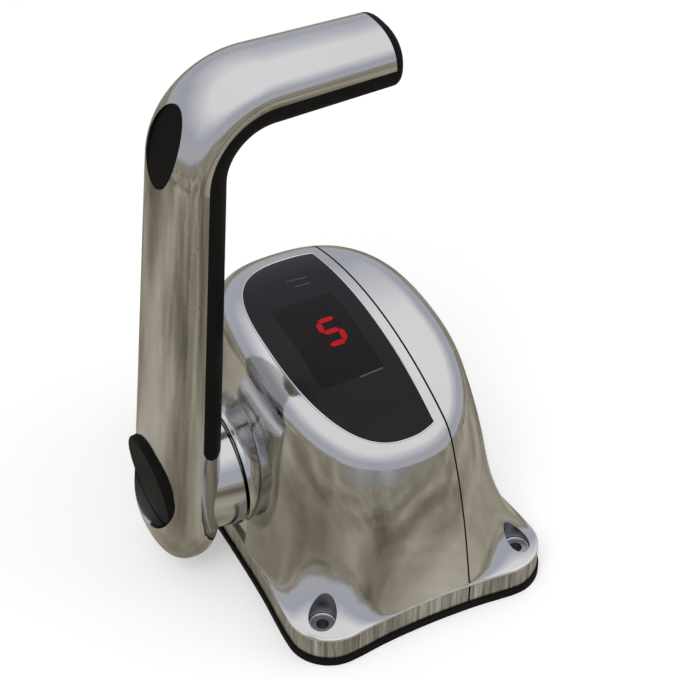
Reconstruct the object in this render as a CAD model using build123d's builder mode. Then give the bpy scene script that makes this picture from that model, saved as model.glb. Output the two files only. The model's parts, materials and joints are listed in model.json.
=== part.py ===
# Boat throttle control lever: a single-lever electronic control head for deck mounting.
# Millimetres, +Z up, -Y towards the helmsman, +X towards the side cover.
# The origin is the centre of the deck bolt pattern on the mounting plane, under the gasket.
import os
from math import asin, atan2, cos, degrees, pi, radians, sin, sqrt, tan

from build123d import *

# Deck fixings and the eared base flange
HOLE_SPACING_X = 80.0
HOLE_SPACING_Y = 132.0
DECK_HOLE_D = 4.6
COUNTERBORE_D = 10.0
COUNTERBORE_SINK = 0.7
GASKET_T = 3.0
GASKET_PROUD = 0.7
FLANGE_T = 9.5
EAR_X = 34.7
EAR_Y = 60.8
EAR_R = 15.5
WAIST_X = 47.8
WAIST_Y = 74.0

# Domed housing: half width and half length at the rim, and how far they draw in at the top
DOME_HALF_X = 47.5
DOME_HALF_Y = 73.9
DOME_DRAW_X = 14.1
DOME_DRAW_Y = 29.0
DOME_SQUARENESS = 2.5
DOME_CURVE = 1.8
DOME_TOP = 96.0
COVE_H = 28.0
COVE_LEAD = 0.12
COVE_STEPS = 8
WALL = 3.6
ROOF = 4.2
CROWN_R = 125.0
CROWN_Y = 8.0
CROWN_Z = 90.2
EDGE_R = 12.0
SPLIT_X = 15.35
SPLIT_GAP = 0.3

# Base plate that closes the housing
PLATE_T = 2.0
PLATE_LIP = 1.6
PLATE_FIT = 0.2
PLATE_POST_X = 34.0
PLATE_POST_Y = 46.0
PLATE_POST_R = 5.0
PLATE_POST_H = 13.0
PLATE_SCREW_D = 4.0
PLATE_SCREW_HEAD_D = 7.4
PLATE_SCREW_CONE = 90.0
PLATE_SCREW_L = 10.0

# Glossy D-shaped panel in the crown, with its straight side along the split line
PANEL_SIDE_X = 11.2
PANEL_HALF_X = 29.6
PANEL_FRONT_Y = -53.6
PANEL_BACK_Y = 42.8
PANEL_T = 1.8
PANEL_FIT = 0.15
PANEL_SINK = 0.1
PANEL_SQUARENESS = 2.35
WINDOW_X = 24.0
WINDOW_Y = 34.0
WINDOW_CY = -6.0

# Control board and its display
BOARD_Z = 68.0
BOARD_T = 1.6
BOARD_X = 42.0
BOARD_Y = 72.0
BOARD_CX = -8.5
BOARD_CY = -3.0
BOARD_POST_R = 3.2
BOARD_SCREW_D = 3.0
BOARD_SCREW_L = 6.0
DISPLAY_X = 22.0
DISPLAY_Y = 32.0
DISPLAY_GAP = 0.4

# Lever shaft line, along X through the middle of the base
PIVOT_Z = 40.5
SHAFT_D = 14.0
FIT = 0.03
FACET_X = -46.5
BOSS_R = 19.0
BOSS_FLARE = 6.0
BOSS_DEPTH = 9.0
BUSH_WALL = 2.0
INNER_BOSS_R = 13.0
INNER_BOSS_X = -33.0
SEAL_T = 2.8
SEAL_WALL = 3.0
HUB_GAP = 0.5
HUB_R = 17.0
HUB_ROOT_R = 15.0

# Lever: oval sections from the rounded foot, up the leaning arm, round the elbow and along the grip
ARM_X = -65.0
ARM_LEAN = 4.7
FOOT_Z = 28.0
FOOT_R = 22.0
ARM_HALF_T = 12.8
ARM_HALF_W = 22.2
ARM_TOP_HALF_T = 10.8
ARM_TOP_HALF_W = 18.6
GRIP_Z = 195.5
GRIP_HALF_T = 11.2
GRIP_HALF_W = 16.2
GRIP_END_HALF_T = 10.6
GRIP_END_HALF_W = 14.8
ELBOW_R = 26.0
GRIP_CASTING_END = 14.5
GRIP_END = 15.5
GRIP_CAP = 4.6
LEVER_SQUARENESS = 2.35
STRIP_Z = 67.0
STRIP_ROUND = 6.0
SECTION_POINTS = 24
BORE_POINTS = 24

# Plugs that close the clamp screw and the elbow core hole
PIVOT_PLUG_R = 17.4
PIVOT_PLUG_T = 3.2
PIVOT_PLUG_X = -73.2
PIVOT_PLUG_Z = 42.0
PIVOT_PLUG_TILT = 6.0
ELBOW_PLUG_HALF_W = 10.2
ELBOW_PLUG_HALF_L = 14.5
ELBOW_PLUG_T = 1.4
ELBOW_PLUG_DEPTH = 2.6
ELBOW_PLUG_TILT = 20.0
PLUG_FIT = 0.1

# Clamp screw of the lever
CLAMP_SCREW_D = 8.0
CLAMP_SOCKET_D = 6.0
CLAMP_SEAT_X = -65.3
CLAMP_HEAD_D = 13.0
CLAMP_HEAD_H = 5.0
CLAMP_LENGTH = 20.0
WASHER_D = 16.0
WASHER_T = 1.6
SHAFT_START_X = -61.0

# Detent, gears, bearing bracket and friction brake along the shaft
SPACER_WALL = 2.0
WHEEL_X = -27.0
WHEEL_T = 5.0
WHEEL_R = 16.0
LUG_R = 24.0
LUG_W = 8.0
GEAR_X = -16.0
GEAR_T = 6.0
MODULE = 1.0
GEAR_TEETH = 36
PINION_TEETH = 18
BACKLASH = 0.16
PINION_ANGLE = 135.0
BRACKET_X = -2.0
BRACKET_T = 5.0
BRACKET_W = 64.0
BRACKET_TOP = 64.0
BRACKET_FOOT = 17.0
BRACKET_FOOT_T = 4.0
BRACKET_CORNER_R = 12.0
BRACKET_SCREW_D = 4.0
BRACKET_SCREW_X = 10.0
BRACKET_SCREW_Y = 24.0
BRACKET_HEAD_D = 7.0
BRACKET_HEAD_H = 2.4
BUSH_FLANGE_T = 2.0
BUSH_FLANGE_R = 11.0
RING_T = 1.2
RING_R = 9.5
RING_GROOVE = 1.0
SHAFT_END_X = 16.0
KEY_W = 4.0
KEY_IN = 1.5
KEY_OUT = 1.2
SWING_AHEAD = 75.0
SWING_ASTERN = 60.0
STOP_PIN_D = 4.0
STOP_PIN_RADIUS = 21.5
STOP_CLEARANCE = 0.5
BALL_D = 5.0
BALL_GAP = 0.3
DETENT_BARREL_R = 5.0
DETENT_FLOOR = 4.0
DETENT_WIRE = 0.8
DETENT_COILS = 5
NOTCH_STEP = 20.0
SHOE_X = 6.0
SHOE_T = 7.0
SHOE_W = 16.0
SHOE_DROP = 15.0
FRICTION_SCREW_D = 6.0
FRICTION_SOCKET_D = 3.0

# Position sensor and wiring inlet
SENSOR_R = 10.0
SENSOR_H = 12.0
SENSOR_SHAFT_D = 6.0
SENSOR_SCREW_D = 3.0
SENSOR_EAR = 13.0
SENSOR_EAR_R = 3.0
SENSOR_EAR_T = 2.5
SENSOR_BORE = 7.0
SENSOR_HEAD_D = 5.0
SENSOR_HEAD_H = 1.6
INLET_Y = -47.0
INLET_X = 4.0
INLET_R = 10.0
INLET_WALL = 1.8
INLET_H = 17.0
INLET_FLANGE_R = 13.5
INLET_FLANGE_T = 2.5
INLET_FLOOR = 7.0
INLET_STAND = 0.6
CONTACT_L = 12.0
CONTACT_D = 1.6
CONTACT_CIRCLE = 4.6
CONTACTS = 6

# Dowels that line up the side cover
DOWEL_D = 4.0
DOWEL_L = 14.0
DOWEL_POST_R = 4.5
DOWEL_Y = 62.0
DOWEL_WEB = 6.0
DOWEL_Z = 30.0

FLANGE_TOP = GASKET_T + FLANGE_T
PLATE_TOP = GASKET_T + PLATE_T
CROWN_CENTRE_Z = CROWN_Z - CROWN_R
LEAN = radians(ARM_LEAN)
ELBOW_Z = GRIP_Z - ELBOW_R
ELBOW_X = ARM_X + (ELBOW_Z - PIVOT_Z) * tan(LEAN) + ELBOW_R / cos(LEAN)


def crown_z(y, drop=0.0):
    """Height of the crown, or of a surface a drop below it, over the line y."""
    return CROWN_CENTRE_Z + sqrt((CROWN_R - drop) ** 2 - (y - CROWN_Y) ** 2)


def waist_radius(waist, across, along):
    """Radius of the hollow arc that touches the waist point and both ears beside it."""
    offset = waist - across
    return (offset**2 + along**2 - EAR_R**2) / (2 * (EAR_R - offset))


def flange_quarter(outset=0.0):
    """Points of a quarter of the eared outline: side waist arc, ear arc, front waist arc."""
    side_r = waist_radius(WAIST_X, EAR_X, EAR_Y)
    front_r = waist_radius(WAIST_Y, EAR_Y, EAR_X)
    side_cx = WAIST_X + side_r
    front_cy = WAIST_Y + front_r
    side_turn = atan2(EAR_Y, side_cx - EAR_X)
    front_turn = atan2(EAR_X, front_cy - EAR_Y)
    waist_steps = 3
    ear_steps = 6
    points = []
    for i in range(waist_steps):
        t = side_turn * i / waist_steps
        points.append((side_cx - (side_r - outset) * cos(t), (side_r - outset) * sin(t)))
    for i in range(ear_steps + 1):
        t = -side_turn + (pi / 2 + front_turn + side_turn) * i / ear_steps
        points.append((EAR_X + (EAR_R + outset) * cos(t), EAR_Y + (EAR_R + outset) * sin(t)))
    for i in reversed(range(waist_steps)):
        t = front_turn * i / waist_steps
        points.append(((front_r - outset) * sin(t), front_cy - (front_r - outset) * cos(t)))
    return points


def flange_outline(outset=0.0):
    """Closed run of points round the whole eared outline."""
    quarter = flange_quarter(outset)
    left = [(-x, y) for x, y in reversed(quarter[:-1])]
    front = [(-x, -y) for x, y in quarter[1:]]
    right = [(x, -y) for x, y in reversed(quarter[1:-1])]
    return quarter + left + front + right


def dome_outline(z, ear_share=0.0, inset=0.0):
    """Outline of the dome at a height, with a share of the flange's ears left on it."""
    draw = max(0.0, (z - FLANGE_TOP) / (DOME_TOP - FLANGE_TOP)) ** DOME_CURVE
    half_x = DOME_HALF_X - DOME_DRAW_X * draw - inset
    half_y = DOME_HALF_Y - DOME_DRAW_Y * draw - inset
    points = []
    for x, y in flange_outline():
        u = x / DOME_HALF_X
        v = y / DOME_HALF_Y
        reach = (abs(u) ** DOME_SQUARENESS + abs(v) ** DOME_SQUARENESS) ** (1 / DOME_SQUARENESS)
        scale = (1 + ear_share * (reach - 1)) / reach
        points.append((half_x * u * scale, half_y * v * scale))
    return points


def bore_outline(z, inset):
    """Plain oval outline inside the dome at a height, a wall thickness in."""
    draw = max(0.0, (z - FLANGE_TOP) / (DOME_TOP - FLANGE_TOP)) ** DOME_CURVE
    half_x = DOME_HALF_X - DOME_DRAW_X * draw - inset
    half_y = DOME_HALF_Y - DOME_DRAW_Y * draw - inset
    points = []
    for i in range(BORE_POINTS):
        t = 2 * pi * i / BORE_POINTS
        c = cos(t)
        s = sin(t)
        reach = (abs(c) ** DOME_SQUARENESS + abs(s) ** DOME_SQUARENESS) ** (1 / DOME_SQUARENESS)
        points.append((half_x * c / reach, half_y * s / reach))
    return points


def cove_levels():
    """Heights and ear shares of the hollow cove that rises from each ear to the dome."""
    levels = []
    for i in range(COVE_STEPS + 1):
        d = i / COVE_STEPS
        rise = (1 - COVE_LEAD) * (1 - sqrt(1 - d * d)) + COVE_LEAD * d
        levels.append((FLANGE_TOP + COVE_H * rise, 1 - d))
    return levels


def upper_levels(start):
    """Even heights of the dome from the start to its top."""
    steps = 4
    return [start + (DOME_TOP - start) * i / steps for i in range(1, steps + 1)]


def oval(half_t, half_w):
    """Closed oval section of the lever: thickness along the first axis, width along the second."""
    points = []
    for i in range(SECTION_POINTS):
        t = 2 * pi * i / SECTION_POINTS
        c = cos(t)
        s = sin(t)
        reach = (abs(c) ** LEVER_SQUARENESS + abs(s) ** LEVER_SQUARENESS) ** (1 / LEVER_SQUARENESS)
        points.append((half_t * c / reach, half_w * s / reach))
    return points


def arm_x(z):
    """X of the arm's centre line at a height."""
    return ARM_X + (z - PIVOT_Z) * tan(LEAN)


def panel_outline(outset=0.0):
    """Curved side of the D-shaped panel, from its back corner round to its front corner."""
    centre_y = (PANEL_FRONT_Y + PANEL_BACK_Y) / 2
    half_y = (PANEL_BACK_Y - PANEL_FRONT_Y) / 2 + outset
    half_x = PANEL_HALF_X + outset
    side = PANEL_SIDE_X + outset
    reach_y = half_y * (1 - (side / half_x) ** PANEL_SQUARENESS) ** (1 / PANEL_SQUARENESS)
    start = atan2(reach_y / half_y, side / half_x)
    steps = 14
    points = []
    for i in range(steps + 1):
        t = start + (2 * pi - 2 * start) * i / steps
        c = cos(t)
        s = sin(t)
        reach = (abs(c) ** PANEL_SQUARENESS + abs(s) ** PANEL_SQUARENESS) ** (1 / PANEL_SQUARENESS)
        points.append((half_x * c / reach, centre_y + half_y * s / reach))
    return points


def gear_outline(teeth, centre, first):
    """Corner points of an involute gear about a centre, from the direction of its first tooth."""
    pitch_r = MODULE * teeth / 2
    base_r = pitch_r * cos(radians(20))
    tip_r = pitch_r + MODULE
    root_r = pitch_r - 1.25 * MODULE
    half_tooth = pi / (2 * teeth) - BACKLASH / (2 * pitch_r)
    pitch_roll = sqrt((pitch_r / base_r) ** 2 - 1)
    half_base = half_tooth + pitch_roll - atan2(pitch_roll, 1)
    flank = []
    steps = 4
    for i in range(steps + 1):
        r = base_r + (tip_r - base_r) * i / steps
        roll = sqrt(max(0.0, (r / base_r) ** 2 - 1))
        flank.append((r, half_base - (roll - atan2(roll, 1))))
    if root_r < base_r:
        flank.insert(0, (root_r, half_base))
    points = []
    for k in range(teeth):
        middle = first + 2 * pi * k / teeth
        for r, half in flank:
            points.append((centre[0] + r * cos(middle - half), centre[1] + r * sin(middle - half)))
        for r, half in reversed(flank):
            points.append((centre[0] + r * cos(middle + half), centre[1] + r * sin(middle + half)))
    return points


def across(x):
    """Plane square to the shaft at x: its first axis is +Y, its second is +Z, from the shaft line."""
    return Plane(origin=(x, 0, PIVOT_Z), x_dir=(0, 1, 0), z_dir=(1, 0, 0))


def arch(x, radius):
    """Round-topped outline about the shaft line that runs down to the flange, at x."""
    with BuildSketch(across(x)) as outline:
        with BuildLine():
            foot = FLANGE_TOP - PIVOT_Z
            ThreePointArc((-radius, 0), (0, radius), (radius, 0))
            Polyline((radius, 0), (radius, foot), (-radius, foot), (-radius, 0))
        make_face()
    return outline.sketch


def dowel_places(shift=0.0):
    """Y and Z of the dowels across the split line, shifted outwards."""
    return [(-DOWEL_Y - shift, DOWEL_Z), (DOWEL_Y + shift, DOWEL_Z)]


def board_posts():
    """X and Y of the posts that hang the control board from the roof."""
    half_x = BOARD_X / 2 - 2 * BOARD_SCREW_D
    half_y = BOARD_Y / 2 - 2 * BOARD_SCREW_D
    return [(BOARD_CX + i * half_x, BOARD_CY + j * half_y) for i in (-1, 1) for j in (-1, 1)]


def core(inset, drop):
    """Plain oval body inside the dome, an inset from its sides and a drop below its crown."""
    with BuildPart() as body:
        for level in [PLATE_TOP] + upper_levels(FLANGE_TOP):
            with BuildSketch(Plane.XY.offset(level)):
                with BuildLine():
                    Spline(*bore_outline(level, inset), periodic=True)
                make_face()
        loft()
        with BuildSketch(Plane.YZ):
            with Locations((CROWN_Y, CROWN_CENTRE_Z)):
                Circle(CROWN_R - drop)
        extrude(amount=WAIST_X, both=True, mode=Mode.INTERSECT)
    return body


def panel_slab(outset, drop, above):
    """Part of the D-shaped prism between two surfaces parallel to the crown."""
    with BuildPart() as slab:
        with BuildSketch(Plane.XY.offset(BOARD_Z)):
            with BuildLine():
                curve = panel_outline(outset)
                Spline(*curve)
                Line(curve[-1], curve[0])
            make_face()
        extrude(amount=DOME_TOP - BOARD_Z)
        with BuildSketch(Plane.YZ):
            with Locations((CROWN_Y, CROWN_CENTRE_Z)):
                Circle(CROWN_R + above)
                Circle(CROWN_R - drop, mode=Mode.SUBTRACT)
        extrude(amount=WAIST_X, both=True, mode=Mode.INTERSECT)
    return slab


def elbow_point(turn):
    """Point of the elbow's centre line after a turn from the arm's direction, in radians."""
    return (ELBOW_X - ELBOW_R * cos(LEAN + turn), ELBOW_Z + ELBOW_R * sin(LEAN + turn))


def lever_station(x, z, tilt, half_t, half_w):
    """Section of the lever square to its centre line, which leans by tilt from the vertical."""
    plane = Plane(origin=(x, 0, z), x_dir=(cos(tilt), 0, -sin(tilt)), z_dir=(sin(tilt), 0, cos(tilt)))
    with BuildSketch(plane) as section:
        with BuildLine():
            Spline(*oval(half_t, half_w), periodic=True)
        make_face()
    return section.sketch


def foot_section(turn):
    """Section of the rounded foot, a turn in degrees below its widest place."""
    share = cos(radians(turn))
    z = FOOT_Z - FOOT_R * sin(radians(turn))
    return lever_station(arm_x(z), z, LEAN, ARM_HALF_T * share, ARM_HALF_W * share)


def elbow_section(share):
    """Section at a share of the elbow, from the arm to the grip."""
    turn = (pi / 2 - LEAN) * share
    x, z = elbow_point(turn)
    half_t = ARM_TOP_HALF_T + (GRIP_HALF_T - ARM_TOP_HALF_T) * share
    half_w = ARM_TOP_HALF_W + (GRIP_HALF_W - ARM_TOP_HALF_W) * share
    return lever_station(x, z, LEAN + turn, half_t, half_w)


def cap_section(turn):
    """Section of the grip's rounded end, a turn in degrees past its rim."""
    share = cos(radians(turn))
    x = GRIP_END + GRIP_CAP * sin(radians(turn))
    return lever_station(x, GRIP_Z, pi / 2, GRIP_END_HALF_T * share, GRIP_END_HALF_W * share)


def sleeve(name, x, length, inner_r, outer_r):
    """Plain ring on the shaft line, from x along the shaft."""
    with BuildPart() as ring:
        with BuildSketch(across(x)):
            Circle(outer_r)
            Circle(inner_r, mode=Mode.SUBTRACT)
        extrude(amount=length)
    save(ring, name)


def key_slot(clearance, mode=Mode.ADD):
    """Outline of the shaft key over the shaft line, grown by a clearance all round."""
    with Locations((0, SHAFT_D / 2 + (KEY_OUT - KEY_IN) / 2)):
        Rectangle(KEY_W + 2 * clearance, KEY_OUT + KEY_IN + 2 * clearance, mode=mode)


def save(piece, name):
    """Label a finished piece and write it."""
    piece.part.label = name
    export_step(piece.part, f"parts/{name}.step")


os.makedirs("parts", exist_ok=True)

# Solid dome over the flange, before it is hollowed and split
with BuildPart() as dome:
    for level, share in cove_levels():
        with BuildSketch(Plane.XY.offset(level)):
            with BuildLine():
                Spline(*dome_outline(level, share), periodic=True)
            make_face()
    for level in upper_levels(FLANGE_TOP + COVE_H):
        with BuildSketch(Plane.XY.offset(level)):
            with BuildLine():
                Spline(*dome_outline(level), periodic=True)
            make_face()
    loft()
    with BuildSketch(Plane.XY.offset(GASKET_T)):
        with BuildLine():
            Spline(*flange_outline(), periodic=True)
        make_face()
    extrude(amount=FLANGE_T)
    with BuildSketch(Plane.YZ):
        with BuildLine():
            reach = WAIST_Y + EAR_R
            ThreePointArc((-reach, crown_z(-reach)), (CROWN_Y, CROWN_Z), (reach, crown_z(reach)))
            Polyline(
                (reach, crown_z(reach)),
                (reach, DOME_TOP + ROOF),
                (-reach, DOME_TOP + ROOF),
                (-reach, crown_z(-reach)),
            )
        make_face()
    extrude(amount=WAIST_X + EAR_R, both=True, mode=Mode.SUBTRACT)
    fillet(dome.faces().sort_by(Axis.Z)[-1].edges(), EDGE_R)

# Space inside the dome
with BuildPart() as cavity:
    add(core(WALL, ROOF).part)
    fillet(cavity.faces().sort_by(Axis.Z)[-1].edges(), EDGE_R - WALL)

# Recess of the panel in the crown, and the panel that fills it
panel_recess = panel_slab(PANEL_FIT, PANEL_T + PANEL_SINK + PANEL_FIT, ROOF)
display_panel = panel_slab(0.0, PANEL_T + PANEL_SINK, -PANEL_SINK)
save(display_panel, "display_panel")

# Metal added inside the hollow housing: shaft boss, screw posts and dowel posts
with BuildPart() as shell_inside:
    with BuildSketch(across(FACET_X + WALL)):
        Circle(INNER_BOSS_R)
    extrude(amount=INNER_BOSS_X - FACET_X - WALL)
    with BuildSketch(Plane.XY.offset(PLATE_TOP)):
        with GridLocations(2 * PLATE_POST_X, 2 * PLATE_POST_Y, 2, 2):
            Circle(PLATE_POST_R)
    extrude(amount=PLATE_POST_H)
    for x, y in board_posts():
        with BuildSketch(Plane.XY.offset(BOARD_Z + BOARD_T)):
            with Locations((x, y)):
                Circle(BOARD_POST_R)
        extrude(amount=DOME_TOP - BOARD_Z - BOARD_T)
    with BuildSketch(Plane.YZ.offset(SPLIT_X)):
        with Locations(*dowel_places(DOWEL_WEB / 2)):
            SlotCenterToCenter(DOWEL_WEB, 2 * DOWEL_POST_R)
    extrude(amount=DOWEL_L / 2 + WALL, both=True)
    add(core(WALL / 2, ROOF / 2).part, mode=Mode.INTERSECT)

# Everything bored or milled out of the housing
bush_r = SHAFT_D / 2 + FIT + BUSH_WALL
seal_r = SHAFT_D / 2 + SEAL_WALL
with BuildPart() as shell_cuts:
    with BuildSketch(Plane.XY.offset(GASKET_T)):
        with BuildLine():
            Spline(*bore_outline(FLANGE_TOP, PLATE_LIP), periodic=True)
        make_face()
    extrude(amount=PLATE_T)
    with BuildSketch(Plane.XY.offset(GASKET_T)):
        with GridLocations(HOLE_SPACING_X, HOLE_SPACING_Y, 2, 2):
            Circle(DECK_HOLE_D / 2)
    extrude(amount=FLANGE_T)
    with BuildSketch(Plane.XY.offset(FLANGE_TOP - COUNTERBORE_SINK)):
        with GridLocations(HOLE_SPACING_X, HOLE_SPACING_Y, 2, 2):
            Circle(COUNTERBORE_D / 2)
    extrude(amount=COVE_H)
    with BuildSketch(Plane.XY.offset(PLATE_TOP)):
        with GridLocations(2 * PLATE_POST_X, 2 * PLATE_POST_Y, 2, 2):
            Circle(PLATE_SCREW_D / 2 + FIT)
    extrude(amount=PLATE_POST_H - WALL)
    with BuildSketch(Plane.XY.offset(BOARD_Z + BOARD_T)):
        with Locations(*board_posts()):
            Circle(BOARD_SCREW_D / 2 + FIT)
    extrude(amount=BOARD_SCREW_L)
    with BuildSketch(Plane.YZ.offset(SPLIT_X)):
        with Locations(*dowel_places()):
            Circle(DOWEL_D / 2 + FIT)
    extrude(amount=DOWEL_L / 2 + SPLIT_GAP, both=True)
    with BuildSketch(across(FACET_X)):
        Circle(bush_r)
    extrude(amount=INNER_BOSS_X - FACET_X)
    with BuildSketch(across(FACET_X)):
        Circle(seal_r)
    extrude(amount=SEAL_T)
    with BuildSketch(Plane.XY.offset(BOARD_Z)):
        with Locations((BOARD_CX, WINDOW_CY)):
            Rectangle(WINDOW_X, WINDOW_Y)
    extrude(amount=DOME_TOP - BOARD_Z)
    add(panel_recess.part)

# Hollow housing in one piece, and its two halves beside the split line
with BuildPart() as shell:
    add(dome.part)
    loft(sections=[arch(FACET_X, BOSS_R), arch(FACET_X + BOSS_DEPTH, BOSS_R + BOSS_FLARE)])
    extrude(arch(FACET_X, BOSS_R), amount=-BOSS_DEPTH, mode=Mode.SUBTRACT)
    add(cavity.part, mode=Mode.SUBTRACT)
    add(shell_inside.part)
    add(shell_cuts.part, mode=Mode.SUBTRACT)

with BuildPart() as housing_main:
    add(shell.part)
    split(bisect_by=Plane.YZ.offset(SPLIT_X - SPLIT_GAP / 2), keep=Keep.BOTTOM)
save(housing_main, "housing_main")

with BuildPart() as housing_side_cover:
    add(shell.part)
    split(bisect_by=Plane.YZ.offset(SPLIT_X + SPLIT_GAP / 2), keep=Keep.TOP)
save(housing_side_cover, "housing_side_cover")

# Gasket under the flange and the base plate that closes the housing
with BuildPart() as base_gasket:
    with BuildSketch(Plane.XY):
        with BuildLine():
            Spline(*flange_outline(GASKET_PROUD), periodic=True)
        make_face()
        with BuildLine():
            Spline(*bore_outline(FLANGE_TOP, 3 * WALL), periodic=True)
        make_face(mode=Mode.SUBTRACT)
        with GridLocations(HOLE_SPACING_X, HOLE_SPACING_Y, 2, 2):
            Circle(DECK_HOLE_D / 2, mode=Mode.SUBTRACT)
    extrude(amount=GASKET_T)
save(base_gasket, "base_gasket")

with BuildPart() as base_plate:
    with BuildSketch(Plane.XY.offset(GASKET_T)):
        with BuildLine():
            Spline(*bore_outline(FLANGE_TOP, PLATE_LIP + PLATE_FIT), periodic=True)
        make_face()
        with Locations((INLET_X, INLET_Y)):
            Circle(INLET_R + FIT, mode=Mode.SUBTRACT)
        with Locations((SHOE_X + SHOE_T / 2, 0)):
            Circle(FRICTION_SCREW_D / 2 + PLATE_FIT, mode=Mode.SUBTRACT)
        with Locations((BRACKET_SCREW_X, -BRACKET_SCREW_Y), (BRACKET_SCREW_X, BRACKET_SCREW_Y)):
            Circle(BRACKET_SCREW_D / 2 + FIT, mode=Mode.SUBTRACT)
    extrude(amount=PLATE_T)
    with Locations(Plane.XY.offset(GASKET_T).rotated((180, 0, 0))):
        with GridLocations(2 * PLATE_POST_X, 2 * PLATE_POST_Y, 2, 2):
            CounterSinkHole(
                PLATE_SCREW_D / 2 + FIT,
                PLATE_SCREW_HEAD_D / 2 + 2 * FIT,
                depth=PLATE_T,
                counter_sink_angle=PLATE_SCREW_CONE,
            )
save(base_plate, "base_plate")

# Countersunk screws that hold the base plate, flush under it and covered by the gasket
with BuildPart() as base_plate_screws:
    with BuildSketch(Plane.XY.offset(GASKET_T)):
        with GridLocations(2 * PLATE_POST_X, 2 * PLATE_POST_Y, 2, 2):
            Circle(PLATE_SCREW_D / 2)
    extrude(amount=PLATE_SCREW_L)
    cone_h = (PLATE_SCREW_HEAD_D - PLATE_SCREW_D) / 2 / tan(radians(PLATE_SCREW_CONE / 2))
    with Locations((0, 0, GASKET_T)):
        with GridLocations(2 * PLATE_POST_X, 2 * PLATE_POST_Y, 2, 2):
            Cone(
                PLATE_SCREW_HEAD_D / 2,
                PLATE_SCREW_D / 2,
                cone_h,
                align=(Align.CENTER, Align.CENTER, Align.MIN),
            )
save(base_plate_screws, "base_plate_screws")

# Dowels across the split line
with BuildPart() as cover_dowels:
    with BuildSketch(Plane.YZ.offset(SPLIT_X)):
        with Locations(*dowel_places()):
            Circle(DOWEL_D / 2)
    extrude(amount=DOWEL_L / 2, both=True)
save(cover_dowels, "cover_dowels")

# Control board under the roof, its screws and the display behind the panel
with BuildPart() as control_board:
    with BuildSketch(Plane.XY.offset(BOARD_Z)):
        with Locations((BOARD_CX, BOARD_CY)):
            RectangleRounded(BOARD_X, BOARD_Y, BOARD_SCREW_D)
        with Locations(*board_posts()):
            Circle(BOARD_SCREW_D / 2 + FIT, mode=Mode.SUBTRACT)
    extrude(amount=BOARD_T)
save(control_board, "control_board")

with BuildPart() as control_board_screws:
    with BuildSketch(Plane.XY.offset(BOARD_Z)):
        with Locations(*board_posts()):
            Circle(BOARD_SCREW_D / 2)
    extrude(amount=BOARD_T + BOARD_SCREW_L - FIT)
    with BuildSketch(Plane.XY.offset(BOARD_Z)):
        with Locations(*board_posts()):
            Circle(BOARD_SCREW_D)
    extrude(amount=-BOARD_SCREW_D / 2)
save(control_board_screws, "control_board_screws")

with BuildPart() as display_module:
    with BuildSketch(Plane.XY.offset(BOARD_Z + BOARD_T)):
        with Locations((BOARD_CX, WINDOW_CY)):
            Rectangle(DISPLAY_X, DISPLAY_Y)
    display_top = crown_z(WINDOW_CY - DISPLAY_Y / 2, PANEL_SINK + PANEL_T) - DISPLAY_GAP
    extrude(amount=display_top - BOARD_Z - BOARD_T)
save(display_module, "display_module")

# Lever as one body, before the rubber insert is parted from it
with BuildPart() as lever_blank:
    loft(sections=[foot_section(turn) for turn in (84, 67, 50, 33, 16, 0)])
    loft(sections=[foot_section(0), elbow_section(0)], ruled=True)
    loft(sections=[elbow_section(share) for share in (0, 0.2, 0.4, 0.6, 0.8, 1)])
    loft(sections=[elbow_section(1), cap_section(0)], ruled=True)
    loft(sections=[cap_section(turn) for turn in (0, 21, 42, 63, 84)])

# Inner side of the lever's centre surface, where the rubber insert lies, with its round lower end
with BuildPart() as insert_region:
    with BuildSketch(Plane.XZ):
        with BuildLine():
            inner_x = arm_x(STRIP_Z) + ARM_HALF_T
            arc_x, arc_z = elbow_point((pi / 2 - LEAN) / 2)
            Line((arm_x(STRIP_Z), STRIP_Z), elbow_point(0))
            ThreePointArc(elbow_point(0), (arc_x, arc_z), (ELBOW_X, GRIP_Z))
            top = GRIP_Z + 2 * GRIP_HALF_T
            far = GRIP_END + 2 * GRIP_CAP
            Polyline(
                (ELBOW_X, GRIP_Z),
                (GRIP_CASTING_END, GRIP_Z),
                (GRIP_CASTING_END, top),
                (far, top),
                (far, STRIP_Z),
                (inner_x, STRIP_Z),
            )
            middle_x = (arm_x(STRIP_Z) + inner_x) / 2
            ThreePointArc((inner_x, STRIP_Z), (middle_x, STRIP_Z - STRIP_ROUND), (arm_x(STRIP_Z), STRIP_Z))
        make_face()
    extrude(amount=2 * ARM_HALF_W, both=True)

# Pockets of the two plugs, each square to its own tilted face
pivot_tilt = radians(PIVOT_PLUG_TILT)
pivot_plug_plane = Plane(
    origin=(PIVOT_PLUG_X, 0, PIVOT_PLUG_Z),
    x_dir=(0, 1, 0),
    z_dir=(-cos(pivot_tilt), 0, -sin(pivot_tilt)),
)
elbow_tilt = radians(ELBOW_PLUG_TILT)
elbow_reach = ELBOW_R + (ARM_TOP_HALF_T + GRIP_HALF_T) / 2 - ELBOW_PLUG_DEPTH - ELBOW_PLUG_T
elbow_plug_plane = Plane(
    origin=(ELBOW_X - elbow_reach * cos(elbow_tilt), 0, ELBOW_Z + elbow_reach * sin(elbow_tilt)),
    x_dir=(0, 1, 0),
    z_dir=(-cos(elbow_tilt), 0, sin(elbow_tilt)),
)

hub_end = FACET_X - HUB_GAP
with BuildPart() as hub:
    with BuildSketch(across(ARM_X + ARM_HALF_T / 2)):
        Circle(HUB_ROOT_R)
    with BuildSketch(across(hub_end)):
        Circle(HUB_R)
    loft()

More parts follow.
